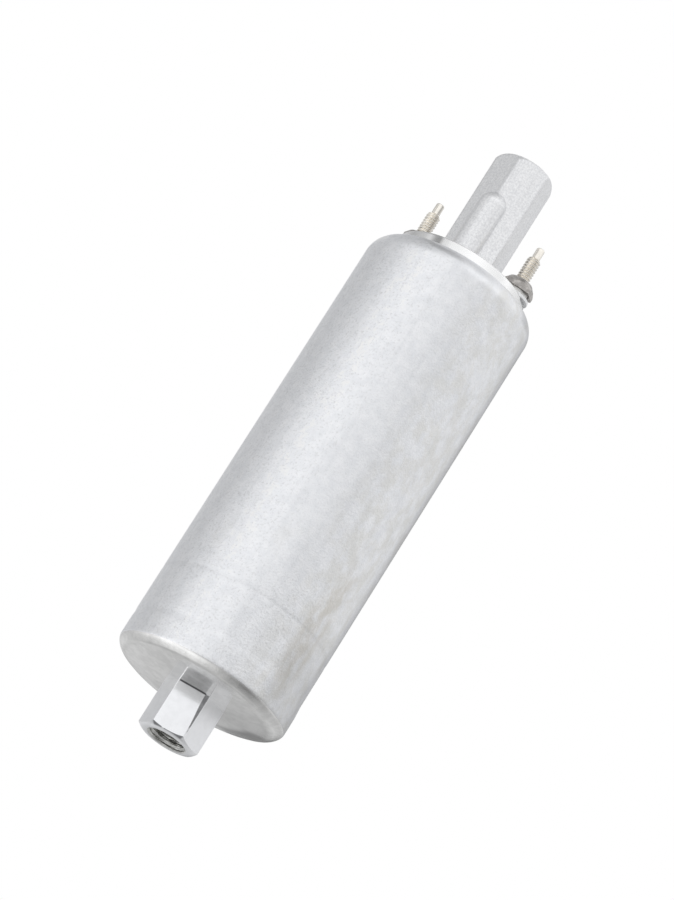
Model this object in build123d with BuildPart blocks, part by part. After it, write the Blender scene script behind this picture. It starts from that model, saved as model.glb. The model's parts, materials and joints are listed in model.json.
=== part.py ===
from build123d import *
from math import cos, hypot, pi, radians, sin, sqrt
import os

# Inline electric fuel pump, in millimetres.
# The origin is the centre of the inlet port's mouth, the lowest point.
# +Z runs along the pump's axis from the inlet to the outlet.

# Clearances and cuts
fit_gap = 0.05
running_gap = 0.03
slide_gap = 0.08
screw_gap = 0.15
groove_side_gap = 0.25
overrun = 1.0

# Outer shell
shell_radius = 22.25
shell_wall = 1.75
shell_length = 116.7
floor_thickness = 4.25
spot_face_radius = 13.5
cone_rise = 2.0
rim_fillet = 3.0
bead_step = 0.23
bead_height = 6.25
bead_taper = 1.6
shoulder_width = 4.07
shoulder_height = 4.85
lip_curl = 0.6

# Ports, metric thread M10x1
port_radius = 5.0
port_depth = 11.0
port_chamfer = 0.25

# Hexagons of the inlet fitting and of the outlet tower
hex_flats = 14.0
inlet_hex_turn = -9.26
inlet_hex_length = 12.35
inlet_nose_face_radius = 5.4
inlet_nose_radius = 4.3
inlet_bore_radius = 3.9
tower_turn = 8.5
tower_height = 32.34
tower_nose_face_radius = 5.2
tower_nose_radius = 2.95

# Shank of the inlet fitting, rolled over inside the shell
shank_radius = 6.45
collar_radius = 7.6
collar_height = 1.0

# O-rings
inlet_cord = 0.6
cap_cord = 0.95

# Rubber cushion ring and inlet strainer
cushion_height = 4.0
cushion_width = 3.05
strainer_radius = 12.5
strainer_rim = 1.5
strainer_height = 2.0
mesh_thickness = 0.4
mesh_hole_radius = 0.75
mesh_pitch = 2.6

# Pump section
pump_side_gap = 1.1
inlet_plate_height = 7.0
rotor_width = 10.0
outlet_plate_height = 15.4
plate_flange_height = 9.0
plate_recess_radius = 17.0
plate_recess_depth = 6.0
plate_hub_height = 3.0
hub_wall = 1.4

# Gear set: the outer ring has one tooth more than the inner star
outer_teeth = 7
tooth_circle_share = 0.5412
tooth_share = 0.305
eccentricity_share = 0.1095
outer_rotor_rim_share = 0.219
rotor_gap = 0.06
points_per_lobe = 14

# Kidney ports in the two plates
kidney_width_share = 0.2095
kidney_angle = 100.0

# Rotor pin and drive coupling
pin_radius = 2.5
pin_seat = 6.0
drive_circle_radius = 4.2
drive_pin_radius = 0.9
drive_pin_length = 7.0
drive_gap = 0.1
drive_count = 3
coupling_edge = 0.1
coupling_height = 4.0
coupling_gap = 0.4

# Screws through the pump section, M3
screw_radius = 1.45
screw_head_radius = 2.6
screw_head_height = 2.2
screw_socket_radius = 1.25
screw_socket_depth = 1.3
screw_edge = 0.6
screw_grip = 6.0
screw_count = 3
screw_start = 30.0

# Relief valve in the pump section
relief_turn = 90.0
relief_seat_radius = 1.1
relief_bore_radius = 2.0
relief_ball_radius = 1.7
relief_spring_radius = 1.35
relief_wire = 0.3
relief_turns = 4
relief_plug_height = 1.9
relief_drain_radius = 0.8

# Motor field
sleeve_gap = 0.15
sleeve_wall = 2.0
magnet_thickness = 2.9
magnet_angle = 140.0
magnet_inset = 6.0
clip_thickness = 0.6
clip_leg = 1.5

# Armature
air_gap = 0.5
shaft_radius = 2.5
shaft_stub = 1.6
bush_radius = 4.2
bush_length = 7.0
washer_radius = 4.4
washer_height = 1.0
core_start = 11.0
slot_count = 10
slot_mouth = 1.5
slot_lip = 1.5
slot_inner_radius = 6.6
slot_inner_width = 2.0
slot_outer_width = 5.6
coil_gap = 0.1
coil_inner_radius = 5.6
coil_end_height = 6.0
coil_end_fillet = 2.0
commutator_radius = 11.2
commutator_base_height = 3.4
bar_height = 2.4
bar_inner_radius = 4.6
bar_gap = 0.6
bar_count = 10

# Brush card, brushes and tubes
card_side_gap = 2.15
card_flange_height = 2.5
card_drop = 3.0
card_bar_gap = 2.2
card_hub_radius = 5.0
card_hub_height = 4.0
card_port_radius = 2.2
card_port_circle_radius = 13.2
card_port_count = 4
brush_circle_radius = 8.0
brush_depth = 4.6
brush_width = 5.0
brush_length = 7.0
tube_wall = 0.5
tube_lift = 0.3
tube_top_gap = 0.9
brush_spring_radius = 1.75
brush_wire = 0.4
brush_turns = 6

# End cap
ring_gap = 0.29
ring_height = 2.8
ring_chamfer = 0.2
cap_side_gap = 0.3
cap_deck = 5.5
cap_skirt_wall = 3.3
cap_skirt_height = 8.6
cap_flange_gap = 0.18
cap_chamfer_height = 3.0
cap_seal_offset = 2.0
boss_radius = 3.4
boss_circle_radius = 7.1
boss_height = 16.7

# Outlet check valve
chamber_radius = 4.5
chamber_floor = 1.4
chamber_feed_radius = 3.2
seat_height = 3.0
seat_bore_radius = 2.2
disc_radius = 3.6
disc_height = 1.6
stem_radius = 1.2
stem_length = 10.0
valve_spring_radius = 2.7
valve_wire = 0.3
valve_turns = 5
retainer_inset = 1.5
retainer_height = 2.0
retainer_hub_radius = 2.1
retainer_hub_length = 4.5
retainer_port_radius = 0.75
retainer_port_count = 6

# Electrical terminals, thread No. 6-32
terminal_turn = -21.5
terminal_wall_gap = 0.2
stud_radius = 1.75
stud_neck_radius = 1.4
stud_neck_length = 0.5
stud_rise = 14.6
stud_point_length = 3.0
stud_point_radius = 1.05
stud_point_fillet = 0.4
stud_chamfer = 0.3
stud_head_radius = 2.7
stud_head_height = 1.8
insulator_wall = 0.9
insulator_flange_radius = 4.2
insulator_flange_height = 0.8
insulator_fillet = 0.2
terminal_seal_radius = 2.8
terminal_seal_height = 1.0
lock_washer_radius = 3.6
lock_washer_height = 1.0
lock_washer_split = 0.8
nut_flats = 7.94
nut_height = 2.8
nut_nose_drop = 1.9
nut_nose_chamfer = 0.8
nut_turns = (8.0, 30.0)
strap_width = 3.5
strap_thickness = 0.6
strap_overlap = 1.6

# Radii that follow from the sizes above
shell_bore_radius = shell_radius - shell_wall
shank_hole_radius = shank_radius + fit_gap
lip_inner_radius = shell_radius - shoulder_width
ring_radius = lip_inner_radius - lip_curl - ring_gap
cap_flange_radius = lip_inner_radius - cap_flange_gap
cap_skirt_radius = shell_bore_radius - cap_side_gap
cap_bore_radius = cap_skirt_radius - cap_skirt_wall
pump_radius = shell_bore_radius - pump_side_gap
screw_circle_radius = pump_radius - screw_head_radius - screw_edge
relief_circle_radius = screw_circle_radius
tooth_circle_radius = tooth_circle_share * pump_radius
tooth_radius = tooth_share * tooth_circle_radius
eccentricity = eccentricity_share * tooth_circle_radius
kidney_width = kidney_width_share * tooth_circle_radius
outer_rotor_radius = (1 + outer_rotor_rim_share) * tooth_circle_radius
root_radius = tooth_circle_radius - tooth_radius + 2 * eccentricity + rotor_gap
kidney_radius = tooth_circle_radius - tooth_radius + eccentricity / 2
coupling_radius = drive_circle_radius + drive_pin_radius + coupling_edge
hub_radius = bush_radius + hub_wall
sleeve_radius = shell_bore_radius - sleeve_gap
sleeve_bore_radius = sleeve_radius - sleeve_wall
magnet_radius = sleeve_bore_radius - fit_gap
magnet_bore_radius = magnet_radius - magnet_thickness
core_radius = magnet_bore_radius - air_gap
slot_outer_radius = core_radius - slot_lip
coil_outer_radius = slot_outer_radius - 2 * coil_gap
card_radius = sleeve_radius - card_side_gap
terminal_circle_radius = cap_bore_radius - stud_head_radius - terminal_wall_gap
stud_hole_radius = stud_radius + fit_gap

# Levels along the axis that follow from the sizes above
shell_end_z = inlet_hex_length
rim_z = shell_end_z + cone_rise
floor_z = shell_end_z + floor_thickness
shoulder_z = shell_end_z + shell_length
lip_z = shoulder_z + shoulder_height
cap_flange_z = lip_z - shell_wall - fit_gap
skirt_z = cap_flange_z - cap_skirt_height
ring_z = lip_z + ring_height
deck_z = ring_z - cap_deck
tower_z = ring_z + tower_height
inlet_plate_z = floor_z + cushion_height
rotor_z = inlet_plate_z + inlet_plate_height
outlet_plate_z = rotor_z + rotor_width
sleeve_z = outlet_plate_z + outlet_plate_height
sleeve_top_z = skirt_z - card_flange_height
recess_z = sleeve_z - plate_recess_depth
hub_z = recess_z + plate_hub_height
coupling_z = outlet_plate_z + coupling_gap
card_z = sleeve_top_z - card_drop
card_hub_z = sleeve_top_z + card_hub_height
bar_top_z = card_z - card_bar_gap
bar_z = bar_top_z - bar_height
commutator_z = bar_z - commutator_base_height
core_z = sleeve_z + core_start
core_top_z = commutator_z - coil_end_height
brush_z = bar_top_z + fit_gap
tube_z = card_z + tube_lift
strap_z = deck_z - terminal_seal_height - stud_head_height - strap_thickness
chamber_z = ring_z + chamber_floor
seat_z = chamber_z + seat_height
port_floor_z = tower_z - port_depth
retainer_z = port_floor_z - retainer_inset - retainer_height
insulator_z = ring_z + insulator_flange_height
nut_z = insulator_z + lock_washer_height
nut_top_z = nut_z + nut_height
terminal_turns = (terminal_turn, terminal_turn + 180)


def around(circle_radius, turn):
    """Point on a circle about the pump's axis."""
    return (circle_radius * cos(radians(turn)), circle_radius * sin(radians(turn)))


def outward_plane(circle_radius, turn, height):
    """Level plane on that circle, with its x axis pointing away from the pump's axis."""
    x, y = around(circle_radius, turn)
    return Plane((x, y, height), x_dir=(cos(radians(turn)), sin(radians(turn)), 0))


def export_piece(piece, name):
    """Label one finished piece and write it to its own file."""
    piece.part.label = name
    export_step(piece.part, "parts/" + name + ".step")


os.makedirs("parts", exist_ok=True)

# Outer shell with its coned end and rolled shoulder
with BuildPart() as body_shell:
    with BuildSketch(Plane.XZ):
        with BuildLine():
            bead_radius = shell_radius + bead_step
            Polyline(
                (shank_hole_radius, floor_z),
                (shank_hole_radius, shell_end_z),
                (spot_face_radius, shell_end_z),
                (bead_radius, rim_z),
                (bead_radius, rim_z + bead_height),
                (shell_radius, rim_z + bead_height + bead_taper),
                (shell_radius, shoulder_z),
            )
            EllipticalCenterArc(
                (lip_inner_radius, shoulder_z), shoulder_width, shoulder_height, arc_size=90
            )
            ThreePointArc(
                (lip_inner_radius, lip_z),
                (lip_inner_radius - lip_curl, lip_z - shell_wall / 2),
                (lip_inner_radius, lip_z - shell_wall),
            )
            EllipticalCenterArc(
                (lip_inner_radius, shoulder_z),
                shoulder_width - shell_wall,
                shoulder_height - shell_wall,
                arc_size=90,
            )
            Polyline(
                (shell_bore_radius, shoulder_z),
                (shell_bore_radius, floor_z),
                (shank_hole_radius, floor_z),
            )
        make_face()
    revolve(axis=Axis.Z)
    end_edges = body_shell.edges().filter_by(GeomType.CIRCLE).group_by(Axis.Z)
    fillet(end_edges[1].sort_by(SortBy.RADIUS)[-1], radius=rim_fillet)
export_piece(body_shell, "body_shell")

# Inlet fitting: hexagon with a rounded nose, female thread and rolled shank
collar_z = floor_z + collar_height
inlet_groove_z = (shell_end_z + floor_z) / 2
inlet_seal_radius = shank_hole_radius - inlet_cord
with BuildPart() as inlet_fitting:
    with BuildSketch():
        RegularPolygon(hex_flats / 2, 6, major_radius=False, rotation=inlet_hex_turn)
    extrude(amount=inlet_hex_length)
    with BuildSketch(Plane.XZ):
        with BuildLine():
            inlet_nose_edge = inlet_nose_face_radius + inlet_nose_radius
            Polyline((0, inlet_hex_length), (0, 0), (inlet_nose_face_radius, 0))
            JernArc((inlet_nose_face_radius, 0), (1, 0), inlet_nose_radius, 90)
            Polyline(
                (inlet_nose_edge, inlet_nose_radius),
                (inlet_nose_edge, inlet_hex_length),
                (0, inlet_hex_length),
            )
        make_face()
    revolve(axis=Axis.Z, mode=Mode.INTERSECT)
    with BuildSketch(Plane.XY.offset(inlet_hex_length)):
        Circle(shank_radius)
    extrude(amount=collar_z - inlet_hex_length)
    with BuildSketch(Plane.XY.offset(floor_z)):
        Circle(collar_radius)
    extrude(amount=collar_height)
    with BuildSketch():
        Circle(port_radius)
    extrude(amount=port_depth, mode=Mode.SUBTRACT)
    with BuildSketch():
        Circle(inlet_bore_radius)
    extrude(amount=collar_z, mode=Mode.SUBTRACT)
    mouth_edges = inlet_fitting.edges().filter_by(GeomType.CIRCLE).group_by(Axis.Z)[0]
    chamfer(mouth_edges.sort_by(SortBy.RADIUS)[0], port_chamfer)
    with BuildSketch(Plane.XZ):
        with Locations((shank_radius, inlet_groove_z)):
            Rectangle(
                2 * (shank_radius - inlet_seal_radius + inlet_cord),
                2 * (inlet_cord + groove_side_gap),
            )
    revolve(axis=Axis.Z, mode=Mode.SUBTRACT)
export_piece(inlet_fitting, "inlet_fitting")

with BuildPart() as inlet_seal:
    with BuildSketch(Plane.XZ):
        with Locations((inlet_seal_radius, inlet_groove_z)):
            Circle(inlet_cord - running_gap)
    revolve(axis=Axis.Z)
export_piece(inlet_seal, "inlet_seal")

# Rubber cushion ring that the pump section stands on
with BuildPart() as cushion_ring:
    with BuildSketch(Plane.XY.offset(floor_z)):
        Circle(shell_bore_radius - fit_gap)
        Circle(shell_bore_radius - fit_gap - cushion_width, mode=Mode.SUBTRACT)
    extrude(amount=cushion_height)
export_piece(cushion_ring, "cushion_ring")

# Strainer: a rim with a perforated floor, fixed under the inlet plate
strainer_z = inlet_plate_z - strainer_height
strainer_bore_radius = strainer_radius - strainer_rim
mesh_row = mesh_pitch * sqrt(3) / 2
mesh_reach = int(strainer_bore_radius / mesh_row)
mesh_places = [
    ((column + row % 2 / 2) * mesh_pitch, row * mesh_row)
    for row in range(-mesh_reach, mesh_reach + 1)
    for column in range(-mesh_reach, mesh_reach + 1)
]
with BuildPart() as inlet_strainer:
    with BuildSketch(Plane.XY.offset(strainer_z)):
        Circle(strainer_radius)
    extrude(amount=strainer_height)
    with BuildSketch(Plane.XY.offset(strainer_z + mesh_thickness)):
        Circle(strainer_bore_radius)
    extrude(amount=strainer_height - mesh_thickness, mode=Mode.SUBTRACT)
    with BuildSketch(Plane.XY.offset(strainer_z)):
        with Locations(
            *[place for place in mesh_places if hypot(*place) < strainer_bore_radius - mesh_hole_radius]
        ):
            Circle(mesh_hole_radius)
    extrude(amount=mesh_thickness, mode=Mode.SUBTRACT)
export_piece(inlet_strainer, "inlet_strainer")

# Inlet plate with its kidney port
with BuildPart() as inlet_plate:
    with BuildSketch(Plane.XY.offset(inlet_plate_z)):
        Circle(pump_radius)
        SlotArc(
            CenterArc((eccentricity, 0), kidney_radius, -90 - kidney_angle / 2, kidney_angle),
            kidney_width,
            mode=Mode.SUBTRACT,
        )
        with PolarLocations(screw_circle_radius, screw_count, start_angle=screw_start):
            Circle(screw_radius + screw_gap, mode=Mode.SUBTRACT)
        with Locations(around(relief_circle_radius, relief_turn)):
            Circle(relief_drain_radius, mode=Mode.SUBTRACT)
    extrude(amount=inlet_plate_height)
    with BuildSketch(Plane.XY.offset(rotor_z)):
        Circle(pin_radius)
    extrude(amount=-pin_seat, mode=Mode.SUBTRACT)
    with BuildSketch(Plane.XY.offset(inlet_plate_z)):
        with PolarLocations(screw_circle_radius, screw_count, start_angle=screw_start):
            Circle(screw_head_radius + screw_gap)
    extrude(amount=screw_head_height + screw_gap, mode=Mode.SUBTRACT)
export_piece(inlet_plate, "inlet_plate")

# Cam ring: the fixed ring whose bore sits off the axis
with BuildPart() as cam_ring:
    with BuildSketch(Plane.XY.offset(rotor_z)):
        Circle(pump_radius)
        with Locations((eccentricity, 0)):
            Circle(outer_rotor_radius + slide_gap, mode=Mode.SUBTRACT)
        with PolarLocations(screw_circle_radius, screw_count, start_angle=screw_start):
            Circle(screw_radius + screw_gap, mode=Mode.SUBTRACT)
        with Locations(around(relief_circle_radius, relief_turn)):
            Circle(relief_bore_radius, mode=Mode.SUBTRACT)
    extrude(amount=rotor_width)
export_piece(cam_ring, "cam_ring")

# Outer rotor: a ring with seven round teeth inside
with BuildPart() as outer_rotor:
    with BuildSketch(Plane((eccentricity, 0, rotor_z + running_gap))):
        Circle(outer_rotor_radius)
        Circle(root_radius, mode=Mode.SUBTRACT)
        with PolarLocations(tooth_circle_radius, outer_teeth):
            Circle(tooth_radius - rotor_gap)
        Circle(outer_rotor_radius, mode=Mode.INTERSECT)
    extrude(amount=rotor_width - 2 * running_gap)
export_piece(outer_rotor, "outer_rotor")


def star_point(turn):
    """Point of the inner rotor's outline, rolled out by the outer rotor's teeth."""
    wave = outer_teeth * turn
    lean_x = tooth_circle_radius * cos(turn) + eccentricity * outer_teeth * cos(wave)
    lean_y = tooth_circle_radius * sin(turn) + eccentricity * outer_teeth * sin(wave)
    reach = tooth_radius / hypot(lean_x, lean_y)
    x = tooth_circle_radius * cos(turn) + eccentricity * cos(wave) - reach * lean_x
    y = tooth_circle_radius * sin(turn) + eccentricity * sin(wave) - reach * lean_y
    return (x, y)


# Inner rotor: a star with one lobe fewer
lobe_count = outer_teeth - 1
star_steps = lobe_count * points_per_lobe
with BuildPart() as inner_rotor:
    with BuildSketch(Plane.XY.offset(rotor_z + running_gap)):
        with BuildLine():
            Spline([star_point(2 * pi * step / star_steps) for step in range(star_steps)], periodic=True)
        make_face()
        Circle(pin_radius + running_gap, mode=Mode.SUBTRACT)
        with PolarLocations(drive_circle_radius, lobe_count, start_angle=30):
            Circle(drive_pin_radius + drive_gap, mode=Mode.SUBTRACT)
    extrude(amount=rotor_width - 2 * running_gap)
export_piece(inner_rotor, "inner_rotor")

# Pin that the inner rotor turns on
with BuildPart() as rotor_pin:
    with BuildSketch(Plane.XY.offset(rotor_z - pin_seat)):
        Circle(pin_radius)
    extrude(amount=pin_seat + rotor_width - coupling_gap)
export_piece(rotor_pin, "rotor_pin")

# Outlet plate: port, coupling well, bush hub and seat for the motor sleeve
with BuildPart() as outlet_plate:
    with BuildSketch(Plane.XY.offset(outlet_plate_z)):
        Circle(pump_radius)
    extrude(amount=outlet_plate_height)
    with BuildSketch(Plane.XY.offset(sleeve_z)):
        Circle(sleeve_radius)
    extrude(amount=-plate_flange_height)
    with BuildSketch(Plane.XY.offset(recess_z)):
        Circle(plate_recess_radius)
    extrude(amount=plate_recess_depth, mode=Mode.SUBTRACT)
    with BuildSketch(Plane.XY.offset(recess_z)):
        Circle(hub_radius)
    extrude(amount=plate_hub_height)
    with BuildSketch(Plane.XY.offset(outlet_plate_z)):
        Circle(coupling_radius + 3 * drive_gap)
    extrude(amount=coupling_height + 2 * coupling_gap, mode=Mode.SUBTRACT)
    with BuildSketch(Plane.XY.offset(outlet_plate_z)):
        Circle(bush_radius)
        SlotArc(
            CenterArc((eccentricity, 0), kidney_radius, 90 - kidney_angle / 2, kidney_angle),
            kidney_width,
        )
    extrude(amount=outlet_plate_height, mode=Mode.SUBTRACT)
    with BuildSketch(Plane.XY.offset(outlet_plate_z)):
        with Locations(around(relief_circle_radius, relief_turn)):
            Circle(relief_seat_radius)
    extrude(amount=recess_z - outlet_plate_z, mode=Mode.SUBTRACT)
    with BuildSketch(Plane.XY.offset(outlet_plate_z)):
        with PolarLocations(screw_circle_radius, screw_count, start_angle=screw_start):
            Circle(screw_radius)
    extrude(amount=screw_grip, mode=Mode.SUBTRACT)
export_piece(outlet_plate, "outlet_plate")

# Three socket screws that hold the pump section together
screw_z = inlet_plate_z + screw_gap
shank_z = screw_z + screw_head_height
with BuildPart() as pump_screws:
    with BuildSketch(Plane.XY.offset(screw_z)):
        with PolarLocations(screw_circle_radius, screw_count, start_angle=screw_start):
            Circle(screw_head_radius)
    extrude(amount=screw_head_height)
    with BuildSketch(Plane.XY.offset(shank_z)):
        with PolarLocations(screw_circle_radius, screw_count, start_angle=screw_start):
            Circle(screw_radius)
    extrude(amount=outlet_plate_z + screw_grip - screw_gap - shank_z)
    with BuildSketch(Plane.XY.offset(screw_z)):
        with PolarLocations(screw_circle_radius, screw_count, start_angle=screw_start):
            RegularPolygon(screw_socket_radius, 6)
    extrude(amount=screw_socket_depth, mode=Mode.SUBTRACT)
export_piece(pump_screws, "pump_screws")

# Relief valve: ball against the outlet plate's small port, spring and plug
relief_x, relief_y = around(relief_circle_radius, relief_turn)
ball_z = outlet_plate_z - sqrt(relief_ball_radius**2 - relief_seat_radius**2) - fit_gap
with BuildPart() as relief_ball:
    with Locations((relief_x, relief_y, ball_z)):
        Sphere(relief_ball_radius)
export_piece(relief_ball, "relief_ball")

with BuildPart() as relief_plug:
    with BuildSketch(Plane((relief_x, relief_y, rotor_z))):
        Circle(relief_bore_radius - fit_gap)
        Circle(relief_drain_radius, mode=Mode.SUBTRACT)
    extrude(amount=relief_plug_height)
export_piece(relief_plug, "relief_plug")

relief_spring_z = rotor_z + relief_plug_height + relief_wire + fit_gap
relief_reach = sqrt((relief_ball_radius + relief_wire) ** 2 - relief_spring_radius**2)
relief_spring_height = ball_z - relief_reach - fit_gap - relief_spring_z
with BuildPart() as relief_spring:
    with BuildLine():
        relief_coil = Helix(
            relief_spring_height / relief_turns,
            relief_spring_height,
            relief_spring_radius,
            center=(relief_x, relief_y, relief_spring_z),
        )
    with BuildSketch(Plane(relief_coil @ 0, z_dir=relief_coil % 0)):
        Circle(relief_wire)
    sweep()
export_piece(relief_spring, "relief_spring")

# Bushes at both ends of the shaft
for bush_name, bush_top_z in (("lower_bush", hub_z), ("upper_bush", card_hub_z)):
    with BuildPart() as bush:
        with BuildSketch(Plane.XY.offset(bush_top_z)):
            Circle(bush_radius)
            Circle(shaft_radius + running_gap, mode=Mode.SUBTRACT)
        extrude(amount=-bush_length)
    export_piece(bush, bush_name)

# Coupling between the shaft and the inner rotor
with BuildPart() as drive_coupling:
    with BuildSketch(Plane.XY.offset(coupling_z)):
        Circle(coupling_radius)
    extrude(amount=coupling_height)
    with BuildSketch(Plane.XY.offset(coupling_z)):
        Circle(shaft_radius)
    extrude(amount=coupling_height, mode=Mode.SUBTRACT)
    with BuildSketch(Plane.XY.offset(coupling_z)):
        with PolarLocations(drive_circle_radius, drive_count, start_angle=30):
            Circle(drive_pin_radius)
    extrude(amount=-drive_pin_length)
export_piece(drive_coupling, "drive_coupling")

# Shaft, thrust washer and laminated core
with BuildPart() as armature_shaft:
    with BuildSketch(Plane.XY.offset(coupling_z)):
        Circle(shaft_radius)
    extrude(amount=card_hub_z + shaft_stub - coupling_z)
export_piece(armature_shaft, "armature_shaft")

with BuildPart() as thrust_washer:
    with BuildSketch(Plane.XY.offset(hub_z + coupling_gap)):
        Circle(washer_radius)
        Circle(shaft_radius, mode=Mode.SUBTRACT)
    extrude(amount=washer_height)
export_piece(thrust_washer, "thrust_washer")

slot_outline = [
    (slot_inner_radius, -slot_inner_width / 2),
    (slot_outer_radius, -slot_outer_width / 2),
    (slot_outer_radius, -slot_mouth / 2),
    (core_radius + overrun, -slot_mouth / 2),
    (core_radius + overrun, slot_mouth / 2),
    (slot_outer_radius, slot_mouth / 2),
    (slot_outer_radius, slot_outer_width / 2),
    (slot_inner_radius, slot_inner_width / 2),
]
with BuildPart() as armature_core:
    with BuildSketch(Plane.XY.offset(core_z)):
        Circle(core_radius)
        Circle(shaft_radius, mode=Mode.SUBTRACT)
        with PolarLocations(0, slot_count):
            Polygon(*slot_outline, align=None, mode=Mode.SUBTRACT)
    extrude(amount=core_top_z - core_z)
export_piece(armature_core, "armature_core")

# Winding: copper in every slot, joined by the rounded end turns
coil_outline = [
    (slot_inner_radius + coil_gap, coil_gap - slot_inner_width / 2),
    (slot_outer_radius - coil_gap, 2 * coil_gap - slot_outer_width / 2),
    (slot_outer_radius - coil_gap, slot_outer_width / 2 - 2 * coil_gap),
    (slot_inner_radius + coil_gap, slot_inner_width / 2 - coil_gap),
]
with BuildPart() as armature_winding:
    with BuildSketch(Plane.XY.offset(core_z)):
        with PolarLocations(0, slot_count):
            Polygon(*coil_outline, align=None)
    extrude(amount=core_top_z - core_z)
    for coil_end_z in (core_z - coil_end_height, core_top_z):
        with BuildSketch(Plane.XY.offset(coil_end_z)):
            Circle(coil_outer_radius)
            Circle(coil_inner_radius, mode=Mode.SUBTRACT)
        extrude(amount=coil_end_height)
    coil_edges = armature_winding.edges().filter_by(GeomType.CIRCLE).group_by(Axis.Z)
    coil_rims = [coil_edges[end].sort_by(SortBy.RADIUS)[-1] for end in (0, -1)]
    fillet(coil_rims, radius=coil_end_fillet)
export_piece(armature_winding, "armature_winding")

# Flat commutator: moulded base and ten copper bars
with BuildPart() as commutator_base:
    with BuildSketch(Plane.XY.offset(commutator_z)):
        Circle(commutator_radius)
        Circle(shaft_radius, mode=Mode.SUBTRACT)
    extrude(amount=commutator_base_height)
export_piece(commutator_base, "commutator_base")

with BuildPart() as commutator_bars:
    with BuildSketch(Plane.XY.offset(bar_z)):
        Circle(commutator_radius)
        Circle(bar_inner_radius, mode=Mode.SUBTRACT)
        with PolarLocations(commutator_radius, bar_count, start_angle=180 / bar_count):
            Rectangle(2 * commutator_radius - bar_inner_radius, bar_gap, mode=Mode.SUBTRACT)
    extrude(amount=bar_height)
export_piece(commutator_bars, "commutator_bars")

# Steel sleeve that closes the magnets' field
with BuildPart() as flux_sleeve:
    with BuildSketch(Plane.XY.offset(sleeve_z)):
        Circle(sleeve_radius)
        Circle(sleeve_bore_radius, mode=Mode.SUBTRACT)
    extrude(amount=sleeve_top_z - sleeve_z)
export_piece(flux_sleeve, "flux_sleeve")

# Two magnets, and the clips that spread them
magnet_z = sleeve_z + magnet_inset
magnet_length = card_z - magnet_inset - magnet_z
for magnet_name, magnet_turn in (("magnet_north", 0), ("magnet_south", 180)):
    with BuildPart() as magnet:
        with BuildSketch(Plane.XY.offset(magnet_z)):
            with BuildLine():
                magnet_start = magnet_turn - magnet_angle / 2
                outer_arc = CenterArc((0, 0), magnet_radius, magnet_start, magnet_angle)
                inner_arc = CenterArc((0, 0), magnet_bore_radius, magnet_start, magnet_angle)
                Line(outer_arc @ 0, inner_arc @ 0)
                Line(outer_arc @ 1, inner_arc @ 1)
            make_face()
        extrude(amount=magnet_length)
    export_piece(magnet, magnet_name)

clip_gap_angle = 360 * fit_gap / (2 * pi * magnet_radius)
clip_wall_angle = 360 * clip_thickness / (2 * pi * magnet_radius)
clip_angle = 180 - magnet_angle - 2 * clip_gap_angle
clip_inner_radius = magnet_radius - clip_thickness - clip_leg
clip_steps = (
    (magnet_radius, clip_inner_radius, clip_angle, Mode.ADD),
    (
        magnet_radius - clip_thickness,
        clip_inner_radius - overrun,
        clip_angle - 2 * clip_wall_angle,
        Mode.SUBTRACT,
    ),
)
with BuildPart() as magnet_clips:
    with BuildSketch(Plane.XY.offset(magnet_z)):
        for clip_turn in (90, -90):
            for outer, inner, span, mode in clip_steps:
                with BuildLine():
                    outer_arc = CenterArc((0, 0), outer, clip_turn - span / 2, span)
                    inner_arc = CenterArc((0, 0), inner, clip_turn - span / 2, span)
                    Line(outer_arc @ 0, inner_arc @ 0)
                    Line(outer_arc @ 1, inner_arc @ 1)
                make_face(mode=mode)
    extrude(amount=magnet_length)
export_piece(magnet_clips, "magnet_clips")

# Brush card: moulded disc on the sleeve, with the upper bush's hub and fuel ports
tube_depth = brush_depth + 2 * (slide_gap + tube_wall)
tube_width = brush_width + 2 * (slide_gap + tube_wall)
with BuildPart() as brush_card:
    with BuildSketch(Plane.XY.offset(card_z)):
        Circle(card_radius)
    extrude(amount=card_drop + card_flange_height)
    with BuildSketch(Plane.XY.offset(sleeve_top_z)):
        Circle(sleeve_radius)
    extrude(amount=card_flange_height)
    with BuildSketch(Plane.XY.offset(sleeve_top_z)):
        Circle(card_hub_radius)
    extrude(amount=card_hub_height)
    with BuildSketch(Plane.XY.offset(card_z)):
        Circle(bush_radius)
        with PolarLocations(card_port_circle_radius, card_port_count, start_angle=terminal_turn + 45):
            Circle(card_port_radius)
        with PolarLocations(brush_circle_radius, 2, start_angle=terminal_turn):
            Rectangle(tube_depth + fit_gap, tube_width + fit_gap)
    extrude(amount=card_hub_z - card_z, mode=Mode.SUBTRACT)
export_piece(brush_card, "brush_card")

# Brass tubes that guide the brushes, closed at the top
tube_length = deck_z - tube_top_gap - tube_z
with BuildPart() as brush_tubes:
    with BuildSketch(Plane.XY.offset(tube_z)):
        with PolarLocations(brush_circle_radius, 2, start_angle=terminal_turn):
            Rectangle(tube_depth, tube_width)
    extrude(amount=tube_length)
    with BuildSketch(Plane.XY.offset(tube_z)):
        with PolarLocations(brush_circle_radius, 2, start_angle=terminal_turn):
            Rectangle(brush_depth + 2 * slide_gap, brush_width + 2 * slide_gap)
    extrude(amount=tube_length - tube_wall, mode=Mode.SUBTRACT)
export_piece(brush_tubes, "brush_tubes")

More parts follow.
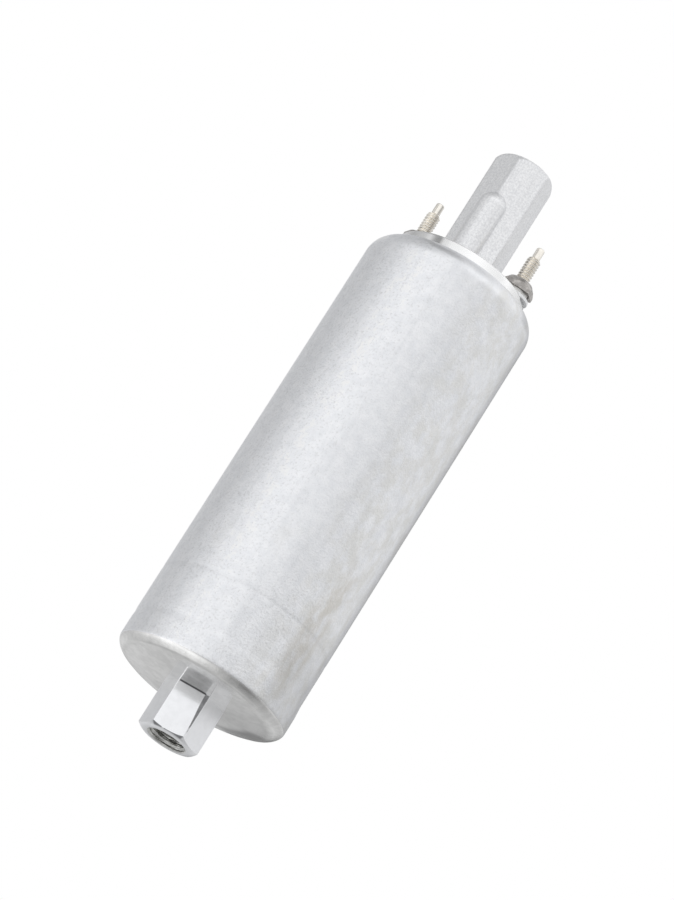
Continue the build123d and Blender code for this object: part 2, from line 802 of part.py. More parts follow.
# Brushes, with the springs that press them on the commutator
brush_spring_z = brush_z + brush_length + brush_wire + fit_gap
brush_spring_height = tube_z + tube_length - tube_wall - brush_wire - fit_gap - brush_spring_z
poles = dict(zip(("positive", "negative"), terminal_turns))
for pole, turn in poles.items():
    with BuildPart() as brush:
        with BuildSketch(outward_plane(brush_circle_radius, turn, brush_z)):
            Rectangle(brush_depth, brush_width)
        extrude(amount=brush_length)
    export_piece(brush, "brush_" + pole)
    with BuildPart() as brush_spring:
        with BuildLine():
            brush_coil = Helix(
                brush_spring_height / brush_turns,
                brush_spring_height,
                brush_spring_radius,
                center=(*around(brush_circle_radius, turn), brush_spring_z),
            )
        with BuildSketch(Plane(brush_coil @ 0, z_dir=brush_coil % 0)):
            Circle(brush_wire)
        sweep()
    export_piece(brush_spring, "brush_spring_" + pole)

# End cap: hexagonal tower with its boss, machined ring, crimped flange and skirt
seal_radius = shell_bore_radius - cap_cord
seal_z = skirt_z + cap_seal_offset + cap_cord
with BuildPart() as end_cap:
    with BuildSketch(Plane.XY.offset(ring_z)):
        RegularPolygon(hex_flats / 2, 6, major_radius=False, rotation=tower_turn)
    extrude(amount=tower_height)
    with BuildSketch(Plane.XZ):
        with BuildLine():
            tower_nose_edge = tower_nose_face_radius + tower_nose_radius
            Polyline(
                (tower_nose_face_radius, tower_z),
                (0, tower_z),
                (0, ring_z),
                (tower_nose_edge, ring_z),
                (tower_nose_edge, tower_z - tower_nose_radius),
            )
            JernArc((tower_nose_edge, tower_z - tower_nose_radius), (0, 1), tower_nose_radius, 90)
        make_face()
    revolve(axis=Axis.Z, mode=Mode.INTERSECT)
    with BuildSketch(outward_plane(boss_circle_radius, tower_turn - 120, ring_z)):
        Circle(boss_radius)
    extrude(amount=boss_height)
    with Locations((*around(boss_circle_radius, tower_turn - 120), ring_z + boss_height)):
        Sphere(boss_radius)
    with BuildSketch(Plane.XZ):
        with BuildLine():
            Polyline(
                (cap_bore_radius, skirt_z),
                (cap_skirt_radius, skirt_z),
                (cap_skirt_radius, cap_flange_z - cap_chamfer_height),
                (cap_flange_radius, cap_flange_z),
                (ring_radius, cap_flange_z),
                (ring_radius, ring_z - ring_chamfer),
                (ring_radius - ring_chamfer, ring_z),
                (0, ring_z),
                (0, deck_z),
                (cap_bore_radius, deck_z),
                close=True,
            )
        make_face()
        with Locations((cap_skirt_radius, seal_z)):
            Rectangle(
                2 * (cap_skirt_radius - seal_radius + cap_cord),
                2 * (cap_cord + groove_side_gap),
                mode=Mode.SUBTRACT,
            )
    revolve(axis=Axis.Z)
    with BuildSketch(Plane.XY.offset(deck_z)):
        Circle(chamber_feed_radius)
        with PolarLocations(terminal_circle_radius, 2, start_angle=terminal_turn):
            Circle(stud_hole_radius + insulator_wall + fit_gap)
    extrude(amount=cap_deck + chamber_floor, mode=Mode.SUBTRACT)
    with BuildSketch(Plane.XY.offset(chamber_z)):
        Circle(chamber_radius)
    extrude(amount=port_floor_z - chamber_z, mode=Mode.SUBTRACT)
    with BuildSketch(Plane.XY.offset(tower_z)):
        Circle(port_radius)
    extrude(amount=-port_depth, mode=Mode.SUBTRACT)
    tower_edges = end_cap.edges().filter_by(GeomType.CIRCLE).group_by(Axis.Z)[-1]
    chamfer(tower_edges.sort_by(SortBy.RADIUS)[0], port_chamfer)
export_piece(end_cap, "end_cap")

with BuildPart() as end_cap_seal:
    with BuildSketch(Plane.XZ):
        with Locations((seal_radius, seal_z)):
            Circle(cap_cord - running_gap)
    revolve(axis=Axis.Z)
export_piece(end_cap_seal, "end_cap_seal")

# Outlet check valve: pressed seat, valve with its stem, spring and retainer
with BuildPart() as valve_seat:
    with BuildSketch(Plane.XY.offset(chamber_z)):
        Circle(chamber_radius)
        Circle(seat_bore_radius, mode=Mode.SUBTRACT)
    extrude(amount=seat_height)
export_piece(valve_seat, "valve_seat")

with BuildPart() as check_valve:
    with BuildSketch(Plane.XY.offset(seat_z)):
        Circle(disc_radius)
    extrude(amount=disc_height)
    with BuildSketch(Plane.XY.offset(seat_z)):
        Circle(stem_radius)
    extrude(amount=disc_height + stem_length)
export_piece(check_valve, "check_valve")

check_spring_z = seat_z + disc_height + valve_wire + fit_gap
check_spring_height = retainer_z - valve_wire - fit_gap - check_spring_z
with BuildPart() as check_spring:
    with BuildLine():
        check_coil = Helix(
            check_spring_height / valve_turns,
            check_spring_height,
            valve_spring_radius,
            center=(0, 0, check_spring_z),
        )
    with BuildSketch(Plane(check_coil @ 0, z_dir=check_coil % 0)):
        Circle(valve_wire)
    sweep()
export_piece(check_spring, "check_spring")

with BuildPart() as valve_retainer:
    with BuildSketch(Plane.XY.offset(retainer_z)):
        Circle(chamber_radius)
        with PolarLocations((retainer_hub_radius + chamber_radius) / 2, retainer_port_count):
            Circle(retainer_port_radius, mode=Mode.SUBTRACT)
    extrude(amount=retainer_height)
    with BuildSketch(Plane.XY.offset(retainer_z)):
        Circle(retainer_hub_radius)
    extrude(amount=-retainer_hub_length)
    with BuildSketch(Plane.XY.offset(retainer_z - retainer_hub_length)):
        Circle(stem_radius + fit_gap)
    extrude(amount=retainer_hub_length + retainer_height, mode=Mode.SUBTRACT)
export_piece(valve_retainer, "valve_retainer")

# Straps from the brush tubes to the terminal studs
strap_start_radius = brush_circle_radius + tube_depth / 2
strap_end_radius = terminal_circle_radius + strap_overlap
with BuildPart() as terminal_straps:
    with BuildSketch(Plane.XY.offset(strap_z)):
        with PolarLocations((strap_start_radius + strap_end_radius) / 2, 2, start_angle=terminal_turn):
            Rectangle(strap_end_radius - strap_start_radius, strap_width)
    extrude(amount=strap_thickness)
export_piece(terminal_straps, "terminal_straps")

# Terminal studs: head under the deck, shank, neck above the nut, free thread and a plain point
head_z = strap_z + strap_thickness
seal_disc_z = head_z + stud_head_height
stud_tip_z = ring_z + stud_rise
thread_end_z = stud_tip_z - stud_point_length
for pole, turn in poles.items():
    with BuildPart() as terminal_stud:
        with BuildSketch(outward_plane(terminal_circle_radius, turn, head_z)):
            Circle(stud_head_radius)
        extrude(amount=stud_head_height)
        with BuildSketch(outward_plane(terminal_circle_radius, turn, head_z)):
            Circle(stud_radius)
        extrude(amount=nut_top_z - head_z)
        with BuildSketch(outward_plane(terminal_circle_radius, turn, nut_top_z)):
            Circle(stud_neck_radius)
        extrude(amount=stud_neck_length)
        with BuildSketch(outward_plane(terminal_circle_radius, turn, nut_top_z + stud_neck_length)):
            Circle(stud_radius)
        extrude(amount=thread_end_z - nut_top_z - stud_neck_length)
        thread_edges = terminal_stud.edges().filter_by(GeomType.CIRCLE).group_by(Axis.Z)
        chamfer(thread_edges[-1], stud_chamfer)
        with BuildSketch(outward_plane(terminal_circle_radius, turn, thread_end_z)):
            Circle(stud_point_radius)
        extrude(amount=stud_point_length)
        point_edges = terminal_stud.edges().filter_by(GeomType.CIRCLE).group_by(Axis.Z)
        fillet(point_edges[-1], stud_point_fillet)
    export_piece(terminal_stud, "terminal_stud_" + pole)

# Seals under the deck and insulators through it
with BuildPart() as terminal_seals:
    with BuildSketch(Plane.XY.offset(seal_disc_z)):
        with PolarLocations(terminal_circle_radius, 2, start_angle=terminal_turn):
            Circle(terminal_seal_radius)
            Circle(stud_hole_radius, mode=Mode.SUBTRACT)
    extrude(amount=terminal_seal_height)
export_piece(terminal_seals, "terminal_seals")

with BuildPart() as terminal_insulators:
    with BuildSketch(Plane.XY.offset(deck_z)):
        with PolarLocations(terminal_circle_radius, 2, start_angle=terminal_turn):
            Circle(stud_hole_radius + insulator_wall)
    extrude(amount=cap_deck)
    with BuildSketch(Plane.XY.offset(ring_z)):
        with PolarLocations(terminal_circle_radius, 2, start_angle=terminal_turn):
            Circle(insulator_flange_radius)
    extrude(amount=insulator_flange_height)
    flange_edges = terminal_insulators.edges().filter_by(GeomType.CIRCLE).group_by(Axis.Z)
    fillet(flange_edges[-1], insulator_fillet)
    with BuildSketch(Plane.XY.offset(deck_z)):
        with PolarLocations(terminal_circle_radius, 2, start_angle=terminal_turn):
            Circle(stud_hole_radius)
    extrude(amount=insulator_z - deck_z, mode=Mode.SUBTRACT)
export_piece(terminal_insulators, "terminal_insulators")

# Split lock washers and nuts
with BuildPart() as lock_washers:
    with BuildSketch(Plane.XY.offset(insulator_z)):
        with PolarLocations(terminal_circle_radius, 2, start_angle=terminal_turn):
            Circle(lock_washer_radius)
            Circle(stud_hole_radius, mode=Mode.SUBTRACT)
        with PolarLocations(terminal_circle_radius + lock_washer_radius, 2, start_angle=terminal_turn):
            Rectangle(2 * lock_washer_radius - stud_radius, lock_washer_split, mode=Mode.SUBTRACT)
    extrude(amount=lock_washer_height)
export_piece(lock_washers, "lock_washers")

nut_nose_radius = nut_flats / 2 - nut_nose_chamfer
nut_corner_radius = nut_flats / sqrt(3)
with BuildPart() as terminal_nuts:
    for turn, nut_turn in zip(terminal_turns, nut_turns):
        nut_x, nut_y = around(terminal_circle_radius, turn)
        with BuildSketch(Plane((nut_x, nut_y, nut_z))):
            RegularPolygon(nut_flats / 2, 6, major_radius=False, rotation=nut_turn)
            Circle(stud_hole_radius, mode=Mode.SUBTRACT)
        extrude(amount=nut_height)
        with BuildSketch(Plane((nut_x, nut_y, 0), x_dir=(1, 0, 0), z_dir=(0, -1, 0))):
            with BuildLine():
                Polyline(
                    (nut_nose_radius, nut_top_z),
                    (nut_corner_radius, nut_top_z - nut_nose_drop),
                    (nut_corner_radius + overrun, nut_top_z),
                    close=True,
                )
            make_face()
        revolve(axis=Axis((nut_x, nut_y, 0), (0, 0, 1)), mode=Mode.SUBTRACT)
export_piece(terminal_nuts, "terminal_nuts")
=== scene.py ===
import bpy
import json
from math import atan2, ceil, cos, hypot, pi, radians, sin, sqrt
from mathutils import Matrix, Vector


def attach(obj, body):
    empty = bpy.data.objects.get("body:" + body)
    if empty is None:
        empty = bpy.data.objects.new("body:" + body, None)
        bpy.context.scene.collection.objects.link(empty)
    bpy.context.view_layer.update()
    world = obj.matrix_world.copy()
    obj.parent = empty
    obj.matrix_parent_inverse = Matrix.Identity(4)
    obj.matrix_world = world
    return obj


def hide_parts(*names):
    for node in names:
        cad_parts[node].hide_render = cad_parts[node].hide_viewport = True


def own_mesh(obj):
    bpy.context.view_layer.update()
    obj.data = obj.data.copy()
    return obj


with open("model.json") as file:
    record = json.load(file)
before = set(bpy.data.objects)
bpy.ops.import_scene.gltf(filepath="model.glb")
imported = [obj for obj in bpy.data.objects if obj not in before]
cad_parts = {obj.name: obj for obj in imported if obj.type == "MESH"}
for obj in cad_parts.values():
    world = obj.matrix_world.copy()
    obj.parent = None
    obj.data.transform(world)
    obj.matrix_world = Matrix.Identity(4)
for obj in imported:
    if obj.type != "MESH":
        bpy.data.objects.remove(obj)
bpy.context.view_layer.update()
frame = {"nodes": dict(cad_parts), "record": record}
nodes = frame["nodes"]
scene = bpy.context.scene
MM = 0.001

# Sizes in millimetres; heights count from the mouth of the inlet port
shell_radius = 22.25
shell_bore = 20.5
shell_hole = 6.5
bead_radius = 22.365
bead_top_z = 23.5
bead_shift = 0.115
shift_radius = 20.0
shift_fade = 1.2
groove_z = 35.1
groove_depth = 0.06
groove_half_width = 1.0
shoulder_z = 129.05
shoulder_width = 4.07
shoulder_height = 4.85
lip_curl = 0.6
lip_drop = 0.875
fitting_z = 12.35
floor_of_shell_z = 16.6
hex_flats = 14.0
hex_corner_radius = 0.30
hex_crown = 0.10
nose_face = 5.4
nose_radius = 4.3
mouth_radius = 5.25
shank_radius = 6.45
port_radius = 4.98
port_thread = 0.54
port_pitch = 1.0
port_lead = 0.8
port_depth = 11.0
outlet_z = 169.0
stud_circle = 14.0
stud_radius = 1.75
stud_thread = 0.42
stud_pitch = 25.4 / 32
brush_circle = 8.0
relief_circle = 16.2

# Turns round the axis in degrees, where -90 faces the viewer
hex_turn = -9.26
hex_front = hex_turn - 90
terminal_turns = {"positive": -21.5, "negative": 158.5}


# Camera: fitted to the outline of the pump in the photograph
tilt = radians(19.3078)
roll = radians(32.3831)
distance = 1.270146
across, along = 0.0026043, -0.0640504
base_height = 0.0146
focal_pixels = 5476.636
photo_height = 900
sensor = 36
flat_right = Vector((1, 0, 0))
flat_up = Vector((0, -sin(tilt), cos(tilt)))
forward = Vector((0, cos(tilt), sin(tilt)))
place = Vector((0, 0, base_height)) - across * flat_right - along * flat_up - distance * forward
right = cos(roll) * flat_right + sin(roll) * flat_up
up = cos(roll) * flat_up - sin(roll) * flat_right
camera_data = bpy.data.cameras.new("camera")
camera_data.sensor_fit = "AUTO"
camera_data.sensor_width = sensor
camera_data.lens = focal_pixels * sensor / photo_height
camera_data.clip_start = 0.05
camera_data.clip_end = 20
camera = bpy.data.objects.new("camera", camera_data)
scene.collection.objects.link(camera)
turned = Matrix((right, up, -forward)).transposed()
camera.matrix_world = Matrix.Translation(place) @ turned.to_4x4()
scene.camera = camera
scene.view_settings.view_transform = "Standard"


def direction(azimuth, elevation):
    a, e = radians(azimuth), radians(elevation)
    return (cos(a) * cos(e), sin(a) * cos(e), sin(e))


class Tree:
    """Adds nodes to the tree of a material or of the world. Places are in metres."""

    def __init__(self, tree):
        self.tree = tree
        self.place = None
        self.xyz = None
        tree.nodes.clear()

    def add(self, kind, **settings):
        node = self.tree.nodes.new(kind)
        for name, value in settings.items():
            setattr(node, name, value)
        return node

    def put(self, socket, value):
        if isinstance(value, bpy.types.NodeSocket):
            self.tree.links.new(value, socket)
        elif value is not None:
            socket.default_value = value

    def math(self, operation, a, b=None):
        node = self.add("ShaderNodeMath", operation=operation)
        self.put(node.inputs[0], a)
        if b is not None:
            self.put(node.inputs[1], b)
        return node.outputs[0]

    def total(self, *values):
        result = values[0]
        for value in values[1:]:
            result = self.math("ADD", result, value)
        return result

    def times(self, *values):
        result = values[0]
        for value in values[1:]:
            result = self.math("MULTIPLY", result, value)
        return result

    def away(self, value, middle):
        """How far the value is from the middle, to either side."""
        return self.math("ABSOLUTE", self.math("SUBTRACT", value, middle))

    def ramp(self, value, low, high, to_low=0.0, to_high=1.0):
        node = self.add("ShaderNodeMapRange", interpolation_type="SMOOTHSTEP")
        for index, item in enumerate((value, low, high, to_low, to_high)):
            self.put(node.inputs[index], item)
        return node.outputs[0]

    def mix(self, factor, a, b):
        node = self.add("ShaderNodeMix", data_type="RGBA")
        self.put(node.inputs[0], factor)
        self.put(node.inputs[6], a if isinstance(a, bpy.types.NodeSocket) else (*a, 1))
        self.put(node.inputs[7], b if isinstance(b, bpy.types.NodeSocket) else (*b, 1))
        return node.outputs[2]

    def shade(self, color, factor):
        node = self.add("ShaderNodeVectorMath", operation="SCALE")
        self.put(node.inputs[0], color)
        self.put(node.inputs["Scale"], factor)
        return node.outputs[0]

    def position(self):
        if self.place is None:
            self.place = self.add("ShaderNodeTexCoord").outputs["Object"]
        return self.place

    def parts(self):
        if self.xyz is None:
            node = self.add("ShaderNodeSeparateXYZ")
            self.put(node.inputs[0], self.position())
            self.xyz = node.outputs
        return self.xyz

    def height(self):
        return self.parts()[2]

    def noise(self, scale, detail=3.0, roughness=0.55):
        mapping = self.add("ShaderNodeMapping")
        self.put(mapping.inputs["Vector"], self.position())
        mapping.inputs["Scale"].default_value = scale if isinstance(scale, tuple) else (scale,) * 3
        node = self.add("ShaderNodeTexNoise")
        self.put(node.inputs["Vector"], mapping.outputs[0])
        node.inputs["Scale"].default_value = 1.0
        node.inputs["Detail"].default_value = detail
        node.inputs["Roughness"].default_value = roughness
        return node.outputs["Fac"]

    def bump(self, height, strength, depth, normal=None):
        node = self.add("ShaderNodeBump")
        node.inputs["Strength"].default_value = strength
        node.inputs["Distance"].default_value = depth
        self.put(node.inputs["Height"], height)
        self.put(node.inputs["Normal"], normal)
        return node.outputs[0]

    def from_axis(self):
        """Distance from the axis of the pump."""
        x, y, z = self.parts()
        return self.math("SQRT", self.total(self.times(x, x), self.times(y, y)))

    def towards(self, azimuth):
        """Distance from the axis, measured along that azimuth."""
        x, y, z = self.parts()
        return self.total(self.times(x, cos(radians(azimuth))), self.times(y, sin(radians(azimuth))))

    def side(self, azimuth):
        """1 where the surface lies at that azimuth round the axis, -1 opposite."""
        return self.math("DIVIDE", self.towards(azimuth), self.math("MAXIMUM", self.from_axis(), 1e-6))

    def around(self, stops):
        """A value that follows the azimuth, given as (azimuth, value) stops."""
        x, y, z = self.parts()
        share = self.total(self.times(self.math("ARCTAN2", y, x), 0.5 / pi), 0.5)
        node = self.add("ShaderNodeFloatCurve")
        self.put(node.inputs["Value"], share)
        curve = node.mapping.curves[0]
        spots = [((azimuth + 180) / 360, value / 2) for azimuth, value in stops]
        curve.points[0].location, curve.points[-1].location = spots[0], spots[-1]
        for spot in spots[1:-1]:
            curve.points.new(*spot)
        node.mapping.update()
        return self.times(node.outputs[0], 2.0)


def material(name, color, metallic, roughness, normal=None, tangent=None, **sockets):
    """A finished material: color, roughness and normal may be functions of the tree."""
    made = bpy.data.materials.new(name)
    made.use_nodes = True
    tree = Tree(made.node_tree)
    shader = tree.add("ShaderNodeBsdfPrincipled")
    out = tree.add("ShaderNodeOutputMaterial")
    tree.put(out.inputs[0], shader.outputs[0])
    tree.put(shader.inputs["Base Color"], color(tree))
    shader.inputs["Metallic"].default_value = metallic
    tree.put(shader.inputs["Roughness"], roughness(tree) if callable(roughness) else roughness)
    if normal:
        tree.put(shader.inputs["Normal"], normal(tree))
    if tangent:
        node = tree.add("ShaderNodeTangent", direction_type="RADIAL", axis=tangent)
        tree.put(shader.inputs["Tangent"], node.outputs[0])
    for socket, value in sockets.items():
        shader.inputs[socket].default_value = value
    return made


def grain(scale, strength, depth):
    return lambda t: t.bump(t.noise(scale, 4.0), strength, depth)


def varied(color, scale, amount):
    """A colour that wanders by that share to both sides of its value."""
    dark = tuple(c * (1 - amount) for c in color)
    light = tuple(min(1, c * (1 + amount)) for c in color)
    return lambda t: t.mix(t.ramp(t.noise(scale), 0.35, 0.65), dark, light)


def rough(value, scale, amount):
    return lambda t: t.ramp(t.noise(scale), 0.3, 0.7, value - amount, value + amount)


# Painted light and shade on the shell, its end and the ring: how bright each looks, as (azimuth, share) stops
# round the axis, standing in for reflections
wall_painted_light = [(-180, 1.04), (-165, 1.04), (-155, 0.99), (-145, 0.98), (-135, 1.01), (-120, 1.12),
             (-105, 1.06), (-90, 0.99), (-75, 0.96), (-60, 1.0), (-45, 1.03), (-25, 1.03), (-15, 0.86),
             (0, 0.74), (60, 1.0), (180, 1.04)]
shoulder_painted_light = [(-180, 1.14), (-165, 1.16), (-155, 1.14), (-148, 1.04), (-140, 0.97), (-130, 0.93),
                 (-110, 0.94), (-100, 0.98), (-90, 1.03), (-70, 1.08), (-50, 1.05), (-40, 1.0), (-30, 0.78),
                 (-20, 0.84), (0, 0.85), (60, 1.0), (180, 1.14)]
lip_painted_light = [(-180, 1.05), (-140, 1.0), (-128, 0.80), (-118, 0.84), (-108, 1.05), (-98, 1.13), (-66, 1.13),
            (-55, 1.05), (-40, 1.0), (-30, 0.76), (-20, 0.9), (0, 1.0), (180, 1.05)]
end_painted_light = [(-180, 1.13), (-150, 1.10), (-140, 1.04), (-120, 1.0), (-90, 1.0), (-60, 0.95), (-45, 0.90),
            (-15, 0.80), (5, 0.80), (20, 0.88), (45, 1.0), (60, 1.02), (120, 1.0), (150, 1.06), (165, 1.14),
            (180, 1.13)]
# The ring's peak at -116.5 is a painted glint beside a painted dark reflection
ring_painted_light = [(-180, 0.95), (-154, 1.0), (-146, 0.88), (-130, 0.80), (-123, 0.66), (-119, 0.72),
             (-116.5, 1.12), (-113, 0.98), (-106, 0.98), (-98, 1.08), (-88, 1.14), (-78, 1.08), (-42, 1.08),
             (-26, 0.92), (0, 1.0), (180, 0.95)]
# Height of the painted shade line in the crease on the rolled shoulder: stops in crease_unit above
# crease_foot, both in metres
crease_rise = [(-180, 1.8), (-132, 1.8), (-122, 1.45), (-112, 0.95), (-105, 0.88), (-60, 0.85), (180, 1.8)]
crease_foot = 0.130
crease_unit = 0.002
# Where the looks change, in metres: heights, and the edge of the hexagon's front face
# groove_shade_z: height of the painted shade along the groove
groove_shade_z = 0.0349
shoulder_start = (0.1290, 0.1306)
lip_start = (0.1331, 0.1336)
cast_start = (0.13668, 0.13672)
face_edge = (0.00415, 0.00425)


# Looks of the shell
def wall_pattern(t):
    """Drawn aluminium: mottled, warmer to the right, with fine specks and a stain near its end."""
    z = t.height()
    clean = t.mix(t.ramp(t.noise(420, 5.0, 0.65), 0.32, 0.68), (0.84, 0.85, 0.87), (0.91, 0.915, 0.93))
    streak = t.ramp(t.noise((900, 900, 24), 4.0), 0.46, 0.70)
    clean = t.mix(t.times(streak, 0.16), clean, (0.70, 0.71, 0.73))
    blot = t.times(t.ramp(t.side(-35), 0.62, 0.97), t.ramp(t.noise((300, 300, 200), 5.0, 0.65), 0.38, 0.66))
    cloud = t.times(t.ramp(t.noise((120, 120, 80), 5.0, 0.65), 0.56, 0.76), 0.35)
    warm = t.times(t.math("MAXIMUM", blot, cloud), 0.58)
    color = t.mix(warm, clean, (0.745, 0.735, 0.70))
    low = t.times(t.ramp(z, 0.060, 0.048), t.ramp(z, 0.016, 0.024))
    patchy = t.ramp(t.noise((420, 420, 150), 4.0, 0.65), 0.36, 0.62)
    stain = t.times(t.ramp(t.side(-47), 0.975, 0.997), low, patchy, 0.42)
    color = t.mix(stain, color, (0.60, 0.56, 0.49))
    bottom = t.times(t.ramp(z, 0.050, 0.035), t.ramp(t.side(-100), 0.5, 0.8))
    dense = t.math("MAXIMUM", t.ramp(t.side(-140), 0.60, 0.90), bottom)
    speck = t.times(t.ramp(t.noise(1800, 3.0, 0.7), 0.50, 0.70), t.total(t.times(dense, 0.26), 0.18))
    return t.mix(speck, color, (0.56, 0.56, 0.555))


def wall_color(t):
    """The pattern, with painted light and shade by azimuth round the axis, darker low on the right front, and
    painted shade in the crease and the groove.
    """
    z = t.height()
    # Painted light and shade by azimuth, different on the wall, the shoulder and the lip
    top = t.ramp(z, *lip_start, t.around(shoulder_painted_light), t.around(lip_painted_light))
    painted_light = t.ramp(z, *shoulder_start, t.around(wall_painted_light), top)
    # Darker low on the right front
    corner = t.times(t.ramp(z, 0.046, 0.022), t.ramp(t.side(-35), 0.88, 0.98), 0.20)
    # Painted shade along the crease under the ring, stronger towards the front left
    line = t.total(t.times(t.around(crease_rise), crease_unit), crease_foot)
    crease_shade = t.ramp(t.away(z, line), 0.0002, 0.0011, 1.0, 0.0)
    crease_shade_strength = t.total(t.ramp(t.side(-112), 0.93, 0.98, 0.0, 0.13), t.ramp(t.side(-95), 0.86, 0.95, 0.0, 0.09))
    # Painted shade along the groove
    groove_shade = t.ramp(t.away(z, groove_shade_z), 0.0002, 0.0012, 0.03, 0.0)
    # These darken the pattern; the crease and the groove parts are painted shade
    corner_and_painted_shade = t.total(corner, t.times(crease_shade, crease_shade_strength), groove_shade)
    return t.shade(wall_pattern(t), t.math("SUBTRACT", painted_light, corner_and_painted_shade))


def wall_roughness(t):
    return t.ramp(t.noise((300, 300, 60), 3.0), 0.3, 0.7, 0.43, 0.52)


def wall_normal(t):
    dents = t.times(t.noise((260, 260, 90), 3.0), 0.5)
    return t.bump(t.total(t.noise(1900, 4.0, 0.7), dents), 0.85, 0.00012)


def end_color(t):
    """Turned end, with a dark patch at the right rear; inside the rim it is lighter and darker by azimuth as
    painted light and shade.
    """
    r = t.from_axis()
    # Painted light and shade by azimuth on the end inside its rim
    painted_light = t.ramp(r, 0.0185, 0.0200, t.around(end_painted_light), 1.0)
    band = t.times(t.ramp(r, 0.0125, 0.0160), t.ramp(r, 0.0216, 0.0208))
    patch = t.times(t.ramp(t.side(30), 0.87, 0.95), band, 0.42)
    return t.shade(varied((0.80, 0.797, 0.785), 500, 0.05)(t), t.math("SUBTRACT", painted_light, patch))


def end_roughness(t):
    worn = t.ramp(t.noise(300), 0.3, 0.7, -0.02, 0.02)
    return t.total(t.ramp(t.from_axis(), 0.0160, 0.0195, 0.08, 0.25), worn)


def end_normal(t):
    """Turning marks towards the middle, the wall's grain towards the edge."""
    r = t.from_axis()
    marks = t.add("ShaderNodeTexNoise", noise_dimensions="1D")
    t.put(marks.inputs["W"], t.times(r, 5200))
    marks.inputs["Scale"].default_value = 1.0
    marks.inputs["Detail"].default_value = 2.0
    turned_part = t.times(marks.outputs[0], t.ramp(r, 0.021, 0.016), 0.25)
    drawn_part = t.times(t.noise(1900, 4.0, 0.7), t.ramp(r, 0.015, 0.019, 0.12, 1.0))
    return t.bump(t.total(turned_part, drawn_part), 0.45, 0.00007)


shell_side = material("shell_side", wall_color, 1.0, wall_roughness, wall_normal)
shell_end = material("shell_end", end_color, 1.0, end_roughness, end_normal, tangent="Z", Anisotropic=0.55)


# Looks of the end cap: cast above the ring's top, turned below it
def cast_part(t, below=0.0, above=1.0):
    """One value below the ring's top and another above it."""
    return t.ramp(t.height(), *cast_start, below, above)


def cap_color(t):
    cast = t.mix(t.ramp(t.noise(2200, 3.0, 0.7), 0.35, 0.65), (0.77, 0.775, 0.785), (0.94, 0.94, 0.945))
    streak = t.ramp(t.noise((1500, 1500, 40), 2.0), 0.5, 0.7)
    cast = t.mix(t.times(streak, 0.25), cast, (0.68, 0.68, 0.69))
    # The turned ring gets painted light and shade by azimuth, with a painted glint and a painted dark
    # reflection
    ring = t.shade((0.88, 0.88, 0.875), t.around(ring_painted_light))
    return t.mix(cast_part(t), ring, cast)


def cap_roughness(t):
    return cast_part(t, 0.22, 0.44)


def cap_normal(t):
    soft = t.add("ShaderNodeBevel", samples=6)
    soft.inputs["Radius"].default_value = 0.0007
    return t.bump(t.times(t.noise(2400, 3.0, 0.65), cast_part(t)), 0.45, 0.00012, soft.outputs[0])


# Looks of the inlet fitting; run is the place across its front face, from the middle to the right
def fitting_color(t):
    """Bright, with a painted shadow line where the front face meets the shell and a painted dark reflection
    as a crescent at the nose's rim, broken by a glint.
    """
    z, r = t.height(), t.from_axis()
    run, front = t.towards(hex_turn), t.side(hex_front)
    # Painted shadow along the line where the front face meets the shell
    base_shadow = t.times(t.ramp(z, 0.01210, 0.01218), t.ramp(front, 0.80, 0.84),
                   t.ramp(run, -0.0039, -0.0036), t.ramp(run, 0.0034, 0.0031))
    reach = t.math("MAXIMUM", t.math("SUBTRACT", r, nose_face * MM), 0.0)
    inner = t.math("SUBTRACT", (nose_radius * MM) ** 2, t.times(reach, reach))
    nose = t.math("SUBTRACT", nose_radius * MM, t.math("SQRT", t.math("MAXIMUM", inner, 0.0)))
    # A gap in the painted dark reflection, left at the clean colour to stand in for a glint
    glint = t.ramp(t.away(run, -0.0012), 0.0002, 0.0004)
    # Painted dark reflection on the nose's rim below the front face
    rim_reflection = t.times(t.ramp(t.math("SUBTRACT", z, nose), 0.00012, 0.00004), t.ramp(r, 0.0066, 0.0071),
                  t.ramp(front, 0.84, 0.88), glint, 0.8)
    clean = varied((0.90, 0.905, 0.92), 500, 0.02)(t)
    # Both the painted shadow and the painted reflection are drawn in dark grey
    return t.mix(t.math("MAXIMUM", base_shadow, rim_reflection), clean, (0.16, 0.16, 0.17))


def fitting_roughness(t):
    """The front face is the smoothest."""
    beside = t.ramp(t.away(t.towards(hex_turn), 0.0), *face_edge)
    return t.total(t.ramp(t.noise(400), 0.3, 0.7, 0.11, 0.15), t.times(beside, 0.17))


def fitting_normal(t):
    """Fine milling lines, and a flat on the front right corner that widens towards the shell."""
    z, run = t.height(), t.towards(hex_turn)
    lines = t.bump(t.noise((220, 220, 5200), 2.0), 0.12, 0.00002)
    start = t.math("SUBTRACT", 0.00390, t.ramp(z, 0.002, 0.0124, 0.0, 0.00085))
    flat = t.times(t.ramp(t.math("SUBTRACT", run, start), 0.0, 0.00010), t.ramp(run, *face_edge[::-1]),
                   t.ramp(z, 0.0005, 0.004), t.ramp(t.side(hex_front), 0.5, 0.6))
    node = t.add("ShaderNodeMix", data_type="VECTOR")
    t.put(node.inputs[0], flat)
    t.put(node.inputs[4], lines)
    node.inputs[5].default_value = direction(-88, -15)
    return node.outputs[1]


